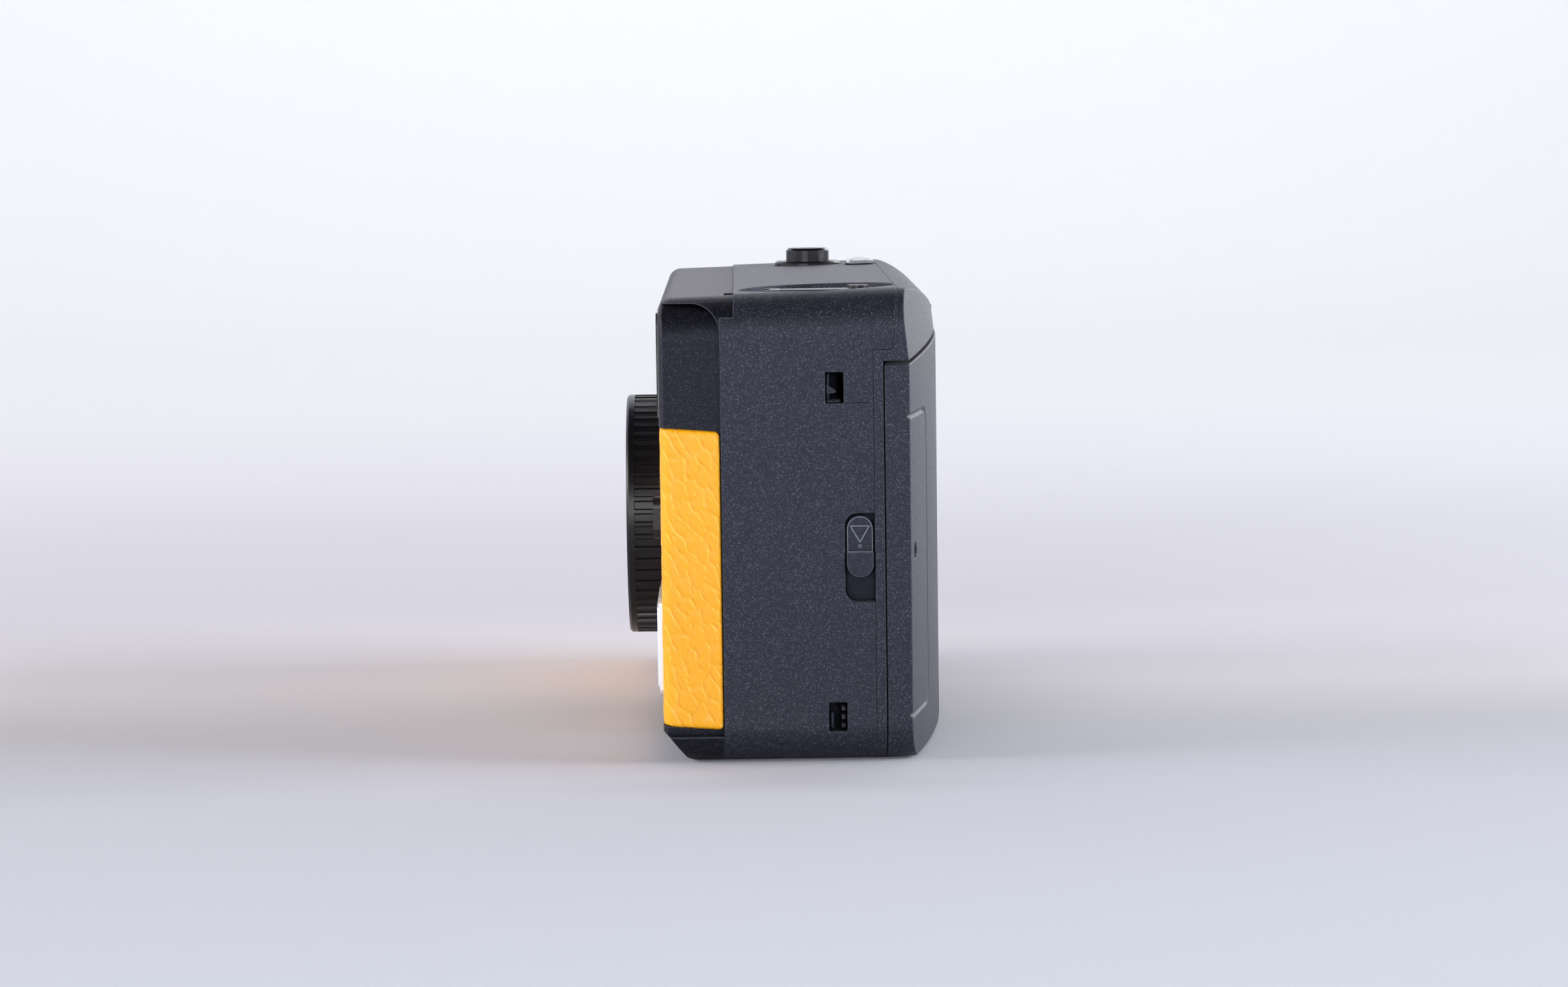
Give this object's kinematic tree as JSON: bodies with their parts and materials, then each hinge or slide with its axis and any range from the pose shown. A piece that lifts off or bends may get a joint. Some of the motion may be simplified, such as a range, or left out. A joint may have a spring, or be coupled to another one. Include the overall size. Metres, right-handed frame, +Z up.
{
  "type": "film camera",
  "caption": "Compact 35 mm film camera with a ribbed lens ring, built-in flash, grained front wrap, hinged film door, winding wheel and folding rewind crank.",
  "frame": {"origin": "on the base plane, below the lens axis, midway between front and back of the middle case", "axes": "+X is the holder's left, -Y the way the lens looks, +Z up"},
  "size_m": [0.1192, 0.0467, 0.0681],
  "materials": {
    "black_textured_abs": "spark-eroded black ABS",
    "black_gloss": "polished black",
    "black_satin": "satin black",
    "inner_black": "flat black",
    "yellow_leatherette": "grained",
    "silver_plate": "satin",
    "clear_acrylic": "polished",
    "optical_glass": "coated",
    "bright_reflector": "bright",
    "spring_steel": "bright",
    "foam_black": "open foam",
    "circuit_board": "solder mask",
    "capacitor_sleeve": "shrink sleeve",
    "lamp_orange": "tinted",
    "white_dial": "printed"
  },
  "bodies": {
    "camera": {"aperture_plate": "inner_black", "badge_plate": "silver_plate", "battery_holder": "inner_black", "blade_pin": "spring_steel", "button_collar": "black_gloss", "button_spring": "spring_steel", "case_screws": "spring_steel", "counter_window": "clear_acrylic", "flash_board": "circuit_board", "flash_capacitor": "capacitor_sleeve", "flash_reflector": "bright_reflector", "flash_tube": "optical_glass", "flash_window": "clear_acrylic", "front_case": "black_textured_abs", "front_cover": "black_textured_abs", "front_lens": "optical_glass", "hinge_pin": "spring_steel", "latch_spring": "spring_steel", "leatherette": "yellow_leatherette", "lens_barrel": "black_satin", "lens_retainer": "black_satin", "lens_ring": "black_satin", "lever_pivot": "spring_steel", "light_seals": "foam_black", "ready_lamp": "lamp_orange", "rear_body": "black_textured_abs", "rear_lens": "optical_glass", "release_spring": "spring_steel", "strap_bar": "spring_steel", "switch_plate": "black_satin", "top_contact": "spring_steel", "viewfinder_eyepiece": "black_gloss", "viewfinder_tube": "inner_black", "viewfinder_window": "clear_acrylic", "wheel_axle": "spring_steel"},
    "door": {"back_door": "black_textured_abs", "pressure_spring": "spring_steel"},
    "plate": {"pressure_plate": "inner_black"},
    "latch": {"door_latch": "black_satin"},
    "button": {"shutter_button": "black_gloss"},
    "release": {"release_lever": "spring_steel"},
    "blade": {"shutter_blade": "spring_steel"},
    "wheel": {"thumbwheel": "black_satin"},
    "spool": {"takeup_spool": "inner_black"},
    "sprocket": {"sprocket_wheel": "inner_black"},
    "counter": {"counter_dial": "white_dial"},
    "crank_lift": {"rewind_collar": "black_satin"},
    "crank": {"rewind_hub": "black_satin", "lever_pin": "spring_steel"},
    "crank_arm": {"rewind_lever": "black_satin"},
    "crank_knob": {"rewind_knob": "black_satin"},
    "switch": {"flash_switch": "black_satin"},
    "rewind_release": {"release_button": "black_satin"},
    "hatch": {"battery_door": "black_textured_abs", "battery_contact": "spring_steel"}
  },
  "joints": [
    {"name": "door_hinge", "type": "hinge", "parent": "camera", "child": "door", "pos_m": [-0.0574, 0.01563, 0.029], "axis": [0, 0, 1], "range_deg": [0, 110]},
    {"name": "plate_float", "type": "slide", "parent": "door", "child": "plate", "axis": [0, 1, 0], "range_m": [0, 0.0008], "stiffness_N_per_m": 300, "deforming": ["pressure_spring"]},
    {"name": "latch_slide", "type": "slide", "parent": "camera", "child": "latch", "axis": [0, 0, -1], "range_m": [0, 0.0033], "stiffness_N_per_m": 200, "deforming": ["latch_spring"]},
    {"name": "shutter_press", "type": "slide", "parent": "camera", "child": "button", "axis": [0, 0, -1], "range_m": [0, 0.001], "stiffness_N_per_m": 400, "deforming": ["button_spring"]},
    {"name": "release_tilt", "type": "hinge", "parent": "camera", "child": "release", "pos_m": [-0.026, -0.0011, 0.0618], "axis": [0, -1, 0], "range_deg": [0, 3.7]},
    {"name": "shutter_swing", "type": "hinge", "parent": "camera", "child": "blade", "pos_m": [-0.0082, -0.0098, 0.0296], "axis": [0, 1, 0], "range_deg": [0, 32], "stiffness_Nm_per_rad": 0.0002},
    {"name": "thumbwheel_spin", "type": "hinge", "parent": "camera", "child": "wheel", "pos_m": [-0.03829, 0.01416, 0.0591], "axis": [0, 0, 1], "continuous": true},
    {"name": "spool_spin", "type": "hinge", "parent": "camera", "child": "spool", "pos_m": [-0.043, 0.004, 0.03], "axis": [0, 0, 1], "continuous": true},
    {"name": "sprocket_spin", "type": "hinge", "parent": "camera", "child": "sprocket", "pos_m": [-0.0252, 0.00625, 0.03], "axis": [0, 0, 1], "continuous": true},
    {"name": "counter_spin", "type": "hinge", "parent": "camera", "child": "counter", "pos_m": [-0.0365, 0.0095, 0.063], "axis": [0, 0, 1], "continuous": true},
    {"name": "rewind_lift", "type": "slide", "parent": "camera", "child": "crank_lift", "axis": [0, 0, 1], "range_m": [0, 0.006]},
    {"name": "rewind_spin", "type": "hinge", "parent": "crank_lift", "child": "crank", "pos_m": [0.0433, 0.0046, 0.062], "axis": [0, 0, 1], "continuous": true},
    {"name": "lever_fold", "type": "hinge", "parent": "crank", "child": "crank_arm", "pos_m": [0.0433, -0.0016, 0.06455], "axis": [1, 0, 0], "range_deg": [0, 160]},
    {"name": "knob_spin", "type": "hinge", "parent": "crank_arm", "child": "crank_knob", "pos_m": [0.0433, 0.0106, 0.06385], "axis": [0, 0, 1], "continuous": true},
    {"name": "switch_slide", "type": "slide", "parent": "camera", "child": "switch", "axis": [-1, 0, 0], "range_m": [0, 0.004]},
    {"name": "release_press", "type": "slide", "parent": "camera", "child": "rewind_release", "axis": [0, 0, 1], "range_m": [0, 0.0012], "stiffness_N_per_m": 200, "deforming": ["release_spring"]},
    {"name": "hatch_hinge", "type": "hinge", "parent": "camera", "child": "hatch", "pos_m": [-0.0275, -0.00205, 0.00105], "axis": [1, 0, 0], "range_deg": [0, 90]}
  ],
  "couplings": [
    {"joint": "thumbwheel_spin", "follows": "spool_spin", "ratio": -0.4},
    {"joint": "release_tilt", "follows": "shutter_press", "rad_per_m": 62.5},
    {"joint": "counter_spin", "follows": "sprocket_spin", "ratio": -0.025}
  ]
}
